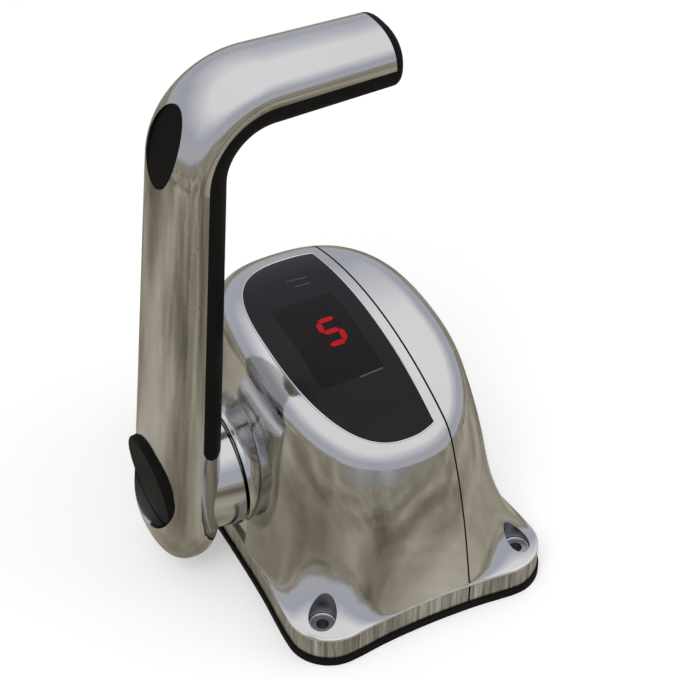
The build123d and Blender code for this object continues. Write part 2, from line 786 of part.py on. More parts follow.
with BuildPart() as lever_casting:
    add(lever_blank.part)
    add(insert_region.part, mode=Mode.SUBTRACT)
    add(hub.part)
    with BuildSketch(pivot_plug_plane):
        Circle(PIVOT_PLUG_R + PLUG_FIT)
    extrude(amount=ARM_HALF_T, mode=Mode.SUBTRACT)
    with BuildSketch(elbow_plug_plane):
        Ellipse(ELBOW_PLUG_HALF_W + PLUG_FIT, ELBOW_PLUG_HALF_L + PLUG_FIT)
    extrude(amount=ARM_HALF_T, mode=Mode.SUBTRACT)
    with BuildSketch(across(SHAFT_START_X)):
        Circle(SHAFT_D / 2 + FIT)
    extrude(amount=hub_end - SHAFT_START_X, mode=Mode.SUBTRACT)
    with BuildSketch(across(SHAFT_START_X)):
        Circle(CLAMP_SCREW_D / 2 + FIT)
    extrude(amount=-ARM_HALF_T, mode=Mode.SUBTRACT)
    with BuildSketch(across(CLAMP_SEAT_X)):
        Circle(WASHER_D / 2 + PLUG_FIT)
    extrude(amount=-ARM_HALF_T, mode=Mode.SUBTRACT)
save(lever_casting, "lever_casting")

with BuildPart() as grip_insert:
    add(lever_blank.part)
    add(insert_region.part, mode=Mode.INTERSECT)
save(grip_insert, "grip_insert")

with BuildPart() as pivot_plug:
    with BuildSketch(pivot_plug_plane):
        Circle(PIVOT_PLUG_R)
    extrude(amount=PIVOT_PLUG_T)
    fillet(pivot_plug.faces().sort_by(Axis.X)[0].edges(), PIVOT_PLUG_T / 3)
save(pivot_plug, "pivot_plug")

with BuildPart() as elbow_plug:
    with BuildSketch(elbow_plug_plane):
        Ellipse(ELBOW_PLUG_HALF_W, ELBOW_PLUG_HALF_L)
    extrude(amount=ELBOW_PLUG_T)
    fillet(elbow_plug.faces().sort_by(Axis.X)[0].edges(), ELBOW_PLUG_T / 3)
save(elbow_plug, "elbow_plug")

# Clamp screw and washer that pull the lever onto the shaft
with BuildPart() as lever_clamp_washer:
    with BuildSketch(across(CLAMP_SEAT_X)):
        Circle(WASHER_D / 2)
        Circle(CLAMP_SCREW_D / 2 + FIT, mode=Mode.SUBTRACT)
    extrude(amount=-WASHER_T)
save(lever_clamp_washer, "lever_clamp_washer")

screw_end = CLAMP_SEAT_X - WASHER_T + CLAMP_LENGTH
with BuildPart() as lever_clamp_screw:
    with BuildSketch(across(CLAMP_SEAT_X - WASHER_T)):
        Circle(CLAMP_HEAD_D / 2)
    extrude(amount=-CLAMP_HEAD_H)
    with BuildSketch(across(CLAMP_SEAT_X - WASHER_T - CLAMP_HEAD_H)):
        RegularPolygon(CLAMP_SOCKET_D / 2, 6)
    extrude(amount=CLAMP_HEAD_H / 2, mode=Mode.SUBTRACT)
    with BuildSketch(across(CLAMP_SEAT_X - WASHER_T)):
        Circle(CLAMP_SCREW_D / 2)
    extrude(amount=CLAMP_LENGTH)
save(lever_clamp_screw, "lever_clamp_screw")

# Shaft from the lever to the bearing bracket, with a threaded end, a keyway and a ring groove
ring_x = BRACKET_X + BRACKET_T + 2 * FIT
gear_end = GEAR_X + GEAR_T
with BuildPart() as lever_shaft:
    with BuildSketch(across(SHAFT_START_X)):
        Circle(SHAFT_D / 2)
    extrude(amount=SHAFT_END_X - SHAFT_START_X)
    with BuildSketch(across(SHAFT_START_X)):
        Circle(CLAMP_SCREW_D / 2 + FIT)
    extrude(amount=screw_end + WALL - SHAFT_START_X, mode=Mode.SUBTRACT)
    with BuildSketch(across(ring_x - FIT)):
        Circle(SHAFT_D / 2)
        Circle(SHAFT_D / 2 - RING_GROOVE, mode=Mode.SUBTRACT)
    extrude(amount=RING_T + 2 * FIT, mode=Mode.SUBTRACT)
    with BuildSketch(across(WHEEL_X - FIT)):
        key_slot(FIT)
    extrude(amount=gear_end - WHEEL_X + 2 * FIT, mode=Mode.SUBTRACT)
save(lever_shaft, "lever_shaft")


shaft_bore_r = SHAFT_D / 2 + FIT
outer_bush_x = FACET_X + SEAL_T + FIT
sleeve("shaft_seal", FACET_X + FIT, SEAL_T - FIT, shaft_bore_r, seal_r - FIT)
sleeve("outer_bush", outer_bush_x, INNER_BOSS_X - outer_bush_x, shaft_bore_r, bush_r - FIT)
spacer_r = SHAFT_D / 2 + SPACER_WALL
wheel_end = WHEEL_X + WHEEL_T
flange_x = BRACKET_X - BUSH_FLANGE_T

# Bush of the bracket: a sleeve with a flange against the bracket's face
with BuildPart() as inner_bush:
    with BuildSketch(across(flange_x)):
        Circle(BUSH_FLANGE_R)
    extrude(amount=BUSH_FLANGE_T)
    with BuildSketch(across(BRACKET_X)):
        Circle(bush_r - FIT)
    extrude(amount=BRACKET_T)
    with BuildSketch(across(flange_x)):
        Circle(shaft_bore_r)
    extrude(amount=BUSH_FLANGE_T + BRACKET_T, mode=Mode.SUBTRACT)
save(inner_bush, "inner_bush")

# Spacer tubes that keep the detent wheel and the gear in place along the shaft
with BuildPart() as shaft_spacers:
    for start, end in (
        (INNER_BOSS_X + HUB_GAP, WHEEL_X),
        (wheel_end, GEAR_X),
        (gear_end, flange_x - HUB_GAP),
    ):
        with BuildSketch(across(start)):
            Circle(spacer_r)
            Circle(shaft_bore_r, mode=Mode.SUBTRACT)
        extrude(amount=end - start)
    with BuildSketch(across(WHEEL_X)):
        key_slot(FIT)
    extrude(amount=gear_end - WHEEL_X, mode=Mode.SUBTRACT)
save(shaft_spacers, "shaft_spacers")

with BuildPart() as shaft_key:
    with BuildSketch(across(WHEEL_X)):
        key_slot(0.0)
    extrude(amount=gear_end - WHEEL_X)
save(shaft_key, "shaft_key")

with BuildPart() as shaft_retaining_ring:
    with BuildSketch(across(ring_x)):
        Circle(RING_R)
        Circle(SHAFT_D / 2 - RING_GROOVE + FIT, mode=Mode.SUBTRACT)
        with Locations((0, -RING_R)):
            Rectangle(SHAFT_D - 2 * RING_GROOVE, 2 * RING_R, mode=Mode.SUBTRACT)
    extrude(amount=RING_T)
save(shaft_retaining_ring, "shaft_retaining_ring")

# Detent wheel: three ball notches under it and a stop lug over it
with BuildPart() as detent_wheel:
    with BuildSketch(across(WHEEL_X)):
        Circle(WHEEL_R)
        with Locations((0, (WHEEL_R + LUG_R) / 2 - BALL_D / 2)):
            Rectangle(LUG_W, LUG_R - WHEEL_R + BALL_D)
        for step in (-1, 0, 1):
            with PolarLocations(WHEEL_R + BALL_D / 4, 1, start_angle=-90 + step * NOTCH_STEP):
                Circle(BALL_D / 2, mode=Mode.SUBTRACT)
        Circle(shaft_bore_r, mode=Mode.SUBTRACT)
        key_slot(FIT, Mode.SUBTRACT)
    extrude(amount=WHEEL_T)
save(detent_wheel, "detent_wheel")

# Ball, spring and barrel of the detent, standing on the base plate under the wheel
detent_x = WHEEL_X + WHEEL_T / 2
ball_z = PIVOT_Z - WHEEL_R - BALL_GAP - BALL_D / 2
barrel_top = ball_z + BALL_D / 4
spring_low = PLATE_TOP + DETENT_FLOOR
with BuildPart() as detent_barrel:
    with BuildSketch(Plane.XY.offset(PLATE_TOP)):
        with Locations((detent_x, 0)):
            Circle(DETENT_BARREL_R)
    extrude(amount=barrel_top - PLATE_TOP)
    with BuildSketch(Plane.XY.offset(spring_low)):
        with Locations((detent_x, 0)):
            Circle(BALL_D / 2 + 2 * FIT)
    extrude(amount=barrel_top - spring_low, mode=Mode.SUBTRACT)
save(detent_barrel, "detent_barrel")

with BuildPart() as detent_ball:
    with Locations((detent_x, 0, ball_z)):
        Sphere(BALL_D / 2)
save(detent_ball, "detent_ball")

coil_r = BALL_D / 2 - DETENT_WIRE
wire_r = DETENT_WIRE / 2
seat = sqrt((BALL_D / 2 + wire_r) ** 2 - coil_r**2)
spring_start = spring_low + wire_r + FIT
spring_h = ball_z - seat - FIT - spring_start
with BuildPart() as detent_spring:
    with BuildLine():
        coil = Helix(spring_h / DETENT_COILS, spring_h, coil_r, center=(detent_x, 0, spring_start))
    with BuildSketch(Plane(origin=coil @ 0, z_dir=coil % 0)):
        Circle(wire_r)
    sweep()
save(detent_spring, "detent_spring")

# Gear on the shaft and the sensor's pinion that it drives
pinion_turn = radians(PINION_ANGLE)
gear_distance = MODULE * (GEAR_TEETH + PINION_TEETH) / 2
pinion_y = gear_distance * sin(pinion_turn)
pinion_z = gear_distance * cos(pinion_turn)
mesh_angle = pi / 2 - pinion_turn
with BuildPart() as drive_gear:
    with BuildSketch(across(GEAR_X)):
        with BuildLine():
            Polyline(*gear_outline(GEAR_TEETH, (0, 0), mesh_angle), close=True)
        make_face()
        Circle(shaft_bore_r, mode=Mode.SUBTRACT)
        key_slot(FIT, Mode.SUBTRACT)
    extrude(amount=GEAR_T)
save(drive_gear, "drive_gear")

sensor_spindle_r = SENSOR_SHAFT_D / 2
with BuildPart() as sensor_pinion:
    with BuildSketch(across(GEAR_X)):
        with BuildLine():
            gap_angle = mesh_angle + pi + pi / PINION_TEETH
            Polyline(*gear_outline(PINION_TEETH, (pinion_y, pinion_z), gap_angle), close=True)
        make_face()
        with Locations((pinion_y, pinion_z)):
            Circle(sensor_spindle_r + FIT, mode=Mode.SUBTRACT)
    extrude(amount=GEAR_T)
save(sensor_pinion, "sensor_pinion")

with BuildPart() as sensor_spindle:
    with BuildSketch(across(GEAR_X)):
        with Locations((pinion_y, pinion_z)):
            Circle(sensor_spindle_r)
    extrude(amount=BRACKET_X + BRACKET_T + SENSOR_BORE - STOP_CLEARANCE - GEAR_X)
save(sensor_spindle, "sensor_spindle")

# Bearing bracket: a standing plate with the bearing bore and a foot on the base plate
bracket_end = BRACKET_X + BRACKET_T
stop_lead = degrees(asin((LUG_W / 2 + STOP_PIN_D / 2 + STOP_CLEARANCE) / STOP_PIN_RADIUS))
stop_pins_at = []
for angle in (SWING_AHEAD + stop_lead, -SWING_ASTERN - stop_lead):
    stop_pins_at.append((STOP_PIN_RADIUS * sin(radians(angle)), STOP_PIN_RADIUS * cos(radians(angle))))
ear_reach = SENSOR_EAR / sqrt(2)
sensor_ears = [(pinion_y - ear_reach, pinion_z - ear_reach), (pinion_y + ear_reach, pinion_z + ear_reach)]
with BuildPart() as bearing_bracket:
    with BuildSketch(across(BRACKET_X)):
        with Locations((0, (BRACKET_TOP + PLATE_TOP) / 2 - PIVOT_Z)):
            Rectangle(BRACKET_W, BRACKET_TOP - PLATE_TOP)
    extrude(amount=BRACKET_T)
    upper = bearing_bracket.edges().filter_by(Axis.X).group_by(Axis.Z)[-1]
    fillet(upper, BRACKET_CORNER_R)
    with BuildSketch(Plane.XY.offset(PLATE_TOP)):
        with Locations((BRACKET_X + BRACKET_FOOT / 2, 0)):
            Rectangle(BRACKET_FOOT, BRACKET_W)
    extrude(amount=BRACKET_FOOT_T)
    with BuildSketch(across(BRACKET_X)):
        Circle(bush_r)
        with Locations(*stop_pins_at):
            Circle(STOP_PIN_D / 2 + FIT)
        with Locations((pinion_y, pinion_z)):
            Circle(sensor_spindle_r + 2 * PLATE_FIT)
        with Locations(*sensor_ears):
            Circle(SENSOR_SCREW_D / 2 + FIT)
    extrude(amount=BRACKET_T, mode=Mode.SUBTRACT)
    with BuildSketch(Plane.XY.offset(PLATE_TOP)):
        with Locations((BRACKET_SCREW_X, -BRACKET_SCREW_Y), (BRACKET_SCREW_X, BRACKET_SCREW_Y)):
            Circle(BRACKET_SCREW_D / 2 + FIT)
        with Locations((SHOE_X + SHOE_T / 2, 0)):
            Circle(FRICTION_SCREW_D / 2 + FIT)
    extrude(amount=BRACKET_FOOT_T, mode=Mode.SUBTRACT)
save(bearing_bracket, "bearing_bracket")

foot_top = PLATE_TOP + BRACKET_FOOT_T
with BuildPart() as bracket_screws:
    with Locations((BRACKET_SCREW_X, -BRACKET_SCREW_Y, 0), (BRACKET_SCREW_X, BRACKET_SCREW_Y, 0)):
        with Locations((0, 0, GASKET_T)):
            Cylinder(
                BRACKET_SCREW_D / 2,
                foot_top - GASKET_T,
                align=(Align.CENTER, Align.CENTER, Align.MIN),
            )
        with Locations((0, 0, foot_top)):
            Cylinder(
                BRACKET_HEAD_D / 2,
                BRACKET_HEAD_H,
                align=(Align.CENTER, Align.CENTER, Align.MIN),
            )
save(bracket_screws, "bracket_screws")

# Pins in the bracket that stop the wheel's lug at both ends of the swing
with BuildPart() as stop_pins:
    with BuildSketch(across(WHEEL_X)):
        with Locations(*stop_pins_at):
            Circle(STOP_PIN_D / 2)
    extrude(amount=bracket_end - WHEEL_X)
save(stop_pins, "stop_pins")

# Sensor on the far side of the bracket, with two screws through its ears
with BuildPart() as position_sensor:
    with BuildSketch(across(bracket_end)):
        with Locations((pinion_y, pinion_z)):
            Circle(SENSOR_R)
    extrude(amount=SENSOR_H)
    with BuildSketch(across(bracket_end)):
        with Locations((pinion_y, pinion_z)):
            SlotCenterToCenter(2 * SENSOR_EAR, 2 * SENSOR_EAR_R, rotation=45)
    extrude(amount=SENSOR_EAR_T)
    with BuildSketch(across(bracket_end)):
        with Locations((pinion_y, pinion_z)):
            Circle(sensor_spindle_r + FIT)
    extrude(amount=SENSOR_BORE, mode=Mode.SUBTRACT)
    with BuildSketch(across(bracket_end)):
        with Locations(*sensor_ears):
            Circle(SENSOR_SCREW_D / 2 + FIT)
    extrude(amount=SENSOR_EAR_T, mode=Mode.SUBTRACT)
save(position_sensor, "position_sensor")

with BuildPart() as sensor_screws:
    with BuildSketch(across(BRACKET_X)):
        with Locations(*sensor_ears):
            Circle(SENSOR_SCREW_D / 2)
    extrude(amount=BRACKET_T + SENSOR_EAR_T)
    with BuildSketch(across(bracket_end + SENSOR_EAR_T)):
        with Locations(*sensor_ears):
            Circle(SENSOR_HEAD_D / 2)
    extrude(amount=SENSOR_HEAD_H)
save(sensor_screws, "sensor_screws")

# Friction shoe under the shaft and the set screw that presses it up through the base plate
shoe_low = PIVOT_Z - SHOE_DROP
with BuildPart() as friction_shoe:
    with BuildSketch(across(SHOE_X)):
        with Locations((0, -(SHOE_DROP + STOP_CLEARANCE) / 2)):
            Rectangle(SHOE_W, SHOE_DROP - STOP_CLEARANCE)
        Circle(shaft_bore_r, mode=Mode.SUBTRACT)
    extrude(amount=SHOE_T)
save(friction_shoe, "friction_shoe")

with BuildPart() as friction_screw:
    with BuildSketch(Plane.XY.offset(GASKET_T)):
        with Locations((SHOE_X + SHOE_T / 2, 0)):
            Circle(FRICTION_SCREW_D / 2)
    extrude(amount=shoe_low - GASKET_T)
    with BuildSketch(Plane.XY.offset(GASKET_T)):
        with Locations((SHOE_X + SHOE_T / 2, 0)):
            RegularPolygon(FRICTION_SOCKET_D / 2, 6)
    extrude(amount=FRICTION_SOCKET_D, mode=Mode.SUBTRACT)
save(friction_screw, "friction_screw")

# Wiring inlet in the base plate, open downwards, and its contacts
with BuildPart() as harness_inlet:
    with BuildSketch(Plane.XY.offset(INLET_STAND)):
        with Locations((INLET_X, INLET_Y)):
            Circle(INLET_R)
    extrude(amount=INLET_H)
    with BuildSketch(Plane.XY.offset(PLATE_TOP)):
        with Locations((INLET_X, INLET_Y)):
            Circle(INLET_FLANGE_R)
    extrude(amount=INLET_FLANGE_T)
    with BuildSketch(Plane.XY.offset(INLET_STAND)):
        with Locations((INLET_X, INLET_Y)):
            Circle(INLET_R - INLET_WALL)
    extrude(amount=INLET_FLOOR, mode=Mode.SUBTRACT)
    with BuildSketch(Plane.XY.offset(INLET_STAND)):
        with Locations((INLET_X, INLET_Y)):
            with PolarLocations(CONTACT_CIRCLE, CONTACTS):
                Circle(CONTACT_D / 2 + FIT)
    extrude(amount=INLET_H, mode=Mode.SUBTRACT)
save(harness_inlet, "harness_inlet")

with BuildPart() as inlet_contacts:
    with BuildSketch(Plane.XY.offset(INLET_STAND + INLET_H - CONTACT_L)):
        with Locations((INLET_X, INLET_Y)):
            with PolarLocations(CONTACT_CIRCLE, CONTACTS):
                Circle(CONTACT_D / 2)
    extrude(amount=CONTACT_L)
save(inlet_contacts, "inlet_contacts")
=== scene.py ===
# Looks of the boat throttle control lever: metals, rubbers, panel marks, studio and camera.
import json
from math import atan2, cos, pi, radians, sin, sqrt

import bmesh
import bpy
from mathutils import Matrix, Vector


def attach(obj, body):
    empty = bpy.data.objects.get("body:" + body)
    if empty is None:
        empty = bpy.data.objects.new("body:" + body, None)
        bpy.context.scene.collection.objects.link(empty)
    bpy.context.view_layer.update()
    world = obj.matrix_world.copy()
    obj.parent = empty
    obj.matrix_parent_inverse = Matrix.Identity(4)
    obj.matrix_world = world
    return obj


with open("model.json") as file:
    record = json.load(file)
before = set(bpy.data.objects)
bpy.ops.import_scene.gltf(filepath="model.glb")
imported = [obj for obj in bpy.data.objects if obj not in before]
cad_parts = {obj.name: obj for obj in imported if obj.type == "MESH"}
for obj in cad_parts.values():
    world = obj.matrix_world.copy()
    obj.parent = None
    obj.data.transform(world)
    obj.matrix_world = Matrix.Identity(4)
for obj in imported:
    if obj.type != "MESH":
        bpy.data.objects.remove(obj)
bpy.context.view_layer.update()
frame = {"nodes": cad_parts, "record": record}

nodes = frame["nodes"]

# Sizes taken over from the part, in metres
CROWN_R = 0.125
CROWN_Y = 0.008
CROWN_Z = 0.0902
FLANGE_TOP = 0.0125
HOLE_X = 0.040
HOLE_Y = 0.066
EAR_X = 0.0347
EAR_Y = 0.0608
EAR_R = 0.0155
WAIST_X = 0.0478
WAIST_Y = 0.0740
SPLIT_X = 0.01535
PANEL_SINK = 0.0001
PANEL_SIDE_X = 0.0112
PANEL_HALF_X = 0.0296
PANEL_FRONT_Y = -0.0536
PANEL_BACK_Y = 0.0428
PANEL_SQUARENESS = 2.35

# Bounds of what the finishes draw: screw seats (painted darker as shade), split line, ground edge
# (painted reflection streaks) and display window
COUNTERBORE_R = 0.00512
SEAM_HALF_W = 0.00036
TOP_BAND = 0.0008
WINDOW_X = -0.0080
WINDOW_Y = -0.0080
WINDOW_HALF_X = 0.0125
WINDOW_HALF_Y = 0.0205


class Value:
    """A number socket of a material that takes part in sums and products."""

    def __init__(self, finish, socket):
        self.finish = finish
        self.socket = socket

    def maths(self, operation, first, second, clamp=False):
        settings = {"operation": operation, "use_clamp": clamp}
        made = self.finish.node("ShaderNodeMath", settings, {0: first, 1: second})
        return Value(self.finish, made.outputs[0])

    def __add__(self, other):
        return self.maths("ADD", self, other)

    def __radd__(self, other):
        return self.maths("ADD", other, self)

    def __sub__(self, other):
        return self.maths("SUBTRACT", self, other)

    def __rsub__(self, other):
        return self.maths("SUBTRACT", other, self)

    def __mul__(self, other):
        return self.maths("MULTIPLY", self, other)

    def __rmul__(self, other):
        return self.maths("MULTIPLY", other, self)

    def __truediv__(self, other):
        return self.maths("DIVIDE", self, other)

    def __rtruediv__(self, other):
        return self.maths("DIVIDE", other, self)

    def __lt__(self, other):
        return self.maths("LESS_THAN", self, other)

    def __gt__(self, other):
        return self.maths("GREATER_THAN", self, other)

    def magnitude(self):
        """The value without its sign."""
        return self.maths("ABSOLUTE", self, 0.0)

    def distance(self, other):
        """How far another value lies from this one."""
        return (self - other).magnitude()

    def clamped(self):
        """The value held between 0 and 1."""
        return self.maths("ADD", self, 0.0, clamp=True)


class Finish:
    """A material with its shader, its Object coordinates and the nodes that vary it."""

    def __init__(self, name, **shader):
        self.material = bpy.data.materials.new(name)
        self.material.use_nodes = True
        self.tree = self.material.node_tree
        self.shader = self.tree.nodes["Principled BSDF"]
        for socket, value in shader.items():
            self.shader.inputs[socket.replace("_", " ")].default_value = value
        self.place = self.node("ShaderNodeTexCoord").outputs["Object"]

    def node(self, kind, settings=None, inputs=None):
        """A node of a kind: its settings first, a ramp's stops among them, then its inputs."""
        made = self.tree.nodes.new(kind)
        for key, value in (settings or {}).items():
            if key == "stops":
                ramp = made.color_ramp
                while len(ramp.elements) < len(value):
                    ramp.elements.new(0.5)
                for element, (at, colour) in zip(ramp.elements, value):
                    element.position = at
                    element.color = colour
            else:
                setattr(made, key, value)
        for key, value in (inputs or {}).items():
            self.feed(made.inputs[key], value)
        return made

    def feed(self, socket, value):
        """Link a socket or value, or set a plain number or colour."""
        if isinstance(value, Value):
            value = value.socket
        if isinstance(value, bpy.types.NodeSocket):
            self.tree.links.new(value, socket)
        else:
            socket.default_value = value

    def axes(self):
        """The three Object coordinates as values."""
        parts = self.node("ShaderNodeSeparateXYZ", None, {0: self.place}).outputs
        return [Value(self, part) for part in parts]

    def stretched(self, scale):
        """Object coordinates scaled apart along the axes."""
        made = self.node("ShaderNodeMapping", None, {"Vector": self.place, "Scale": scale})
        return made.outputs["Vector"]

    def noise(self, scale, detail=3.0, vector=None, roughness=0.5):
        """Soft noise from 0 to 1 at a scale in cells per metre."""
        inputs = {
            "Vector": vector or self.place,
            "Scale": scale,
            "Detail": detail,
            "Roughness": roughness,
        }
        return Value(self, self.node("ShaderNodeTexNoise", None, inputs).outputs["Fac"])

    def blend(self, share, first, second):
        """Colour between two colours or colour sockets."""
        made = self.node("ShaderNodeMix", {"data_type": "RGBA"})
        self.feed(made.inputs["Factor"], share)
        self.feed(made.inputs[6], first)
        self.feed(made.inputs[7], second)
        return made.outputs[2]

    def ramp(self, share, stops):
        """Colour from stops along a value."""
        return self.node("ShaderNodeValToRGB", {"stops": stops}, {"Fac": share}).outputs["Color"]

    def colour(self, value):
        self.feed(self.shader.inputs["Base Color"], value)

    def rough(self, value):
        self.feed(self.shader.inputs["Roughness"], value)

    def bump(self, height, strength, depth):
        """Relief of a height value, its full depth in metres."""
        made = self.node(
            "ShaderNodeBump", None, {"Strength": strength, "Distance": depth, "Height": height}
        )
        self.feed(self.shader.inputs["Normal"], made.outputs["Normal"])


def grey(level, warm=0.0):
    return (level * (1 + warm), level, level * (1 - warm), 1.0)


def polished_metal(name, lengthwise):
    """Mirror-polished casting with fine lengthwise polishing lines and faint smudges."""
    finish = Finish(name, Metallic=1.0)
    smudge = finish.noise(38.0, 4.0)
    lines = finish.noise(900.0, 2.0, finish.stretched(lengthwise))
    tone = finish.blend(smudge, (0.575, 0.57, 0.575, 1), (0.685, 0.68, 0.68, 1))
    finish.colour(tone)
    finish.rough(0.065 + smudge * 0.06 + lines * 0.025)
    finish.bump(lines, 0.05, 0.0002)
    return finish


def hole_share(x, y):
    """1 inside the four counterbores of the base, else 0."""
    aside = x.magnitude().distance(HOLE_X)
    ahead = y.magnitude().distance(HOLE_Y)
    return (aside * aside + ahead * ahead) < COUNTERBORE_R**2


def base_metal(name):
    """Polished housing: ground edge of the flange with painted reflection streaks, satin screw
    seats painted darker as shade, dark split line.
    """
    finish = polished_metal(name, (1.0, 0.08, 1.0))
    x, y, z = finish.axes()
    low = z < FLANGE_TOP - TOP_BAND
    streaks = finish.noise(620.0, 4.0, finish.stretched((1.0, 1.0, 0.04)), 0.7)
    # Flange sides below the top: ground streaks, with dark and bright bands painted in as
    # reflection of the surroundings
    streaks_and_painted_reflection = finish.ramp(
        streaks,
        [(0.32, grey(0.19, 0.04)), (0.5, grey(0.40, 0.02)), (0.66, grey(0.72, 0.0))],
    )
    tone = finish.shader.inputs["Base Color"].links[0].from_socket
    rough = Value(finish, finish.shader.inputs["Roughness"].links[0].from_socket)
    bored = hole_share(x, y)
    turned = finish.blend(low, tone, streaks_and_painted_reflection)
    # Screw seats: satin, and painted darker and bluish as shade in the recess
    seats_and_painted_shade = finish.blend(bored, turned, (0.34, 0.345, 0.37, 1))
    seam = x.distance(SPLIT_X) < SEAM_HALF_W
    finish.colour(finish.blend(seam, seats_and_painted_shade, (0.03, 0.03, 0.03, 1)))
    finish.rough(rough + low * (0.10 + streaks * 0.16) + bored * 0.22 + seam * 0.4)
    return finish


def rubber(name, tone, roughness, grain):
    """Matt black rubber with a fine moulded grain."""
    finish = Finish(name, Specular_IOR_Level=0.07)
    pores = finish.noise(grain, 3.0)
    wear = finish.noise(60.0, 4.0)
    finish.colour(finish.blend(wear, grey(tone * 0.75), grey(tone * 1.3, 0.04)))
    finish.rough(roughness + wear * 0.1)
    finish.bump(pores, 0.35, 0.00012)
    return finish


def moulded(name, colour, roughness):
    """Moulded plastic with a faint grain and slight mottling."""
    finish = Finish(name)
    mottle = finish.noise(90.0, 3.0)
    darker = tuple(c * 0.8 for c in colour) + (1.0,)
    finish.colour(finish.blend(mottle, darker, colour + (1.0,)))
    finish.rough(roughness + mottle * 0.12)
    finish.bump(finish.noise(1800.0, 2.0), 0.2, 0.00008)
    return finish


def machined(name, colour, roughness, lines):
    """Turned or milled metal with tool lines along one stretch of the coordinates."""
    finish = Finish(name, Metallic=1.0)
    marks = finish.noise(700.0, 3.0, finish.stretched(lines))
    darker = tuple(c * 0.78 for c in colour) + (1.0,)
    finish.colour(finish.blend(marks, darker, colour + (1.0,)))
    finish.rough(roughness + marks * 0.15)
    finish.bump(marks, 0.15, 0.00005)
    return finish


def panel_gloss(name):
    """Glossy black panel with the satin display window let into its middle."""
    finish = Finish(name, Specular_IOR_Level=0.17)
    x, y = finish.axes()[:2]
    window = (x.distance(WINDOW_X) < WINDOW_HALF_X) * (y.distance(WINDOW_Y) < WINDOW_HALF_Y)
    haze = finish.noise(45.0, 3.0)
    field = finish.blend(haze, (0.007, 0.0062, 0.0085, 1), (0.013, 0.0115, 0.0155, 1))
    finish.colour(finish.blend(window, field, (0.0035, 0.003, 0.004, 1)))
    finish.rough(0.13 + haze * 0.06 + window * 0.25)
    return finish


def lit(name, colour, glow):
    """Glowing display mark."""
    finish = Finish(name, Roughness=0.35, Specular_IOR_Level=0.12, Emission_Strength=glow)
    grain = finish.noise(1500.0, 2.0)
    tone = finish.blend(grain, tuple(c * 0.85 for c in colour) + (1.0,), colour + (1.0,))
    finish.colour(tone)
    finish.feed(finish.shader.inputs["Emission Color"], tone)
    return finish


STEEL = (0.56, 0.56, 0.57)
housing_finish = base_metal("PolishedHousing")
lever_finish = polished_metal("PolishedLever", (1.0, 1.0, 0.05))
# Brighter metal for the edge beads and seat rings: painted highlight along the edges
highlight_rim_finish = machined("BrightRimHighlight", (0.90, 0.90, 0.91), 0.24, (0.3, 0.3, 1.0))
gasket_finish = rubber("GasketRubber", 0.007, 0.62, 1500.0)
grip_finish = rubber("GripRubber", 0.0065, 0.50, 2200.0)
plug_finish = rubber("PlugPlastic", 0.0058, 0.55, 2600.0)
panel_finish = panel_gloss("PanelGloss")
turned_finish = machined("TurnedSteel", STEEL, 0.22, (1.0, 0.05, 0.05))
wire_finish = machined("DrawnWire", (0.42, 0.42, 0.44), 0.25, (0.2, 0.2, 1.0))
cast_finish = machined("CastAluminium", (0.58, 0.59, 0.60), 0.38, (1.0, 1.0, 1.0))
plate_finish = machined("BrushedPlate", (0.66, 0.67, 0.68), 0.26, (0.05, 1.0, 1.0))
bronze_finish = machined("BearingBronze", (0.62, 0.42, 0.20), 0.28, (1.0, 0.05, 0.05))
brass_finish = machined("ContactBrass", (0.76, 0.58, 0.25), 0.18, (1.0, 1.0, 0.05))
acetal_finish = moulded("NaturalAcetal", (0.78, 0.77, 0.72), 0.35)
sensor_finish = moulded("SensorPlastic", (0.045, 0.045, 0.05), 0.45)
board_finish = moulded("BoardLaminate", (0.03, 0.15, 0.07), 0.35)
glass_finish = moulded("DisplayGlass", (0.02, 0.02, 0.025), 0.10)

FINISH_OF_SLOT = {
    "polished_metal": housing_finish,
    "black_rubber": gasket_finish,
    "grip_rubber": grip_finish,
    "plug_plastic": plug_finish,
    "panel_plastic": panel_finish,
    "cast_aluminium": cast_finish,
    "plate_aluminium": plate_finish,
    "turned_steel": turned_finish,
    "spring_steel": wire_finish,
    "bearing_bronze": bronze_finish,
    "contact_brass": brass_finish,
    "acetal": acetal_finish,
    "sensor_plastic": sensor_finish,
    "board_laminate": board_finish,
    "display_glass": glass_finish,
}
for row in frame["record"]["subparts"]:
    cad = nodes[row["node"]]
    chosen = FINISH_OF_SLOT[row["material_slot"]]
    if row["node"] == "lever_casting":
        chosen = lever_finish
    cad.data.materials.clear()
    cad.data.materials.append(chosen.material)


def crown(y, over=0.0):
    """Height of the panel's surface over the line y, and a little over it."""
    radius = CROWN_R - PANEL_SINK + over
    return CROWN_Z - CROWN_R + sqrt(radius**2 - (y - CROWN_Y) ** 2)


MARK_ROOT = -0.0001
MARK_RISE = 0.00012


def panel_mark(name, outlines, finish):
    """Thin raised marks on the panel: each outline's points follow the crown."""
    mesh = bmesh.new()
    for outline in outlines:
        count = len(outline)
        low = [mesh.verts.new((x, y, crown(y, MARK_ROOT))) for x, y in outline]
        high = [mesh.verts.new((x, y, crown(y, MARK_RISE))) for x, y in outline]
        mesh.faces.new(high)
        mesh.faces.new(low[::-1])
        for i in range(count):
            j = (i + 1) % count
            mesh.faces.new((low[i], low[j], high[j], high[i]))
    bmesh.ops.recalc_face_normals(mesh, faces=mesh.faces)
    data = bpy.data.meshes.new(name)
    mesh.to_mesh(data)
    mesh.free()
    data.materials.append(finish.material)
    piece = bpy.data.objects.new(name, data)
    bpy.context.scene.collection.objects.link(piece)
    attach(piece, "base")
    return piece


# Seven-segment number in the display window
DIGIT_X = -0.0052
DIGIT_Y = -0.0068
DIGIT_W = 0.0088
DIGIT_H = 0.0140
SEGMENT_W = 0.0022
SEGMENT_GAP = 0.0002
LEAN = 0.10


def leaning(points):
    """Points of the digit's own square moved to its place and leant to the right."""
    return [(DIGIT_X + x + y * LEAN, DIGIT_Y + y) for x, y in points]


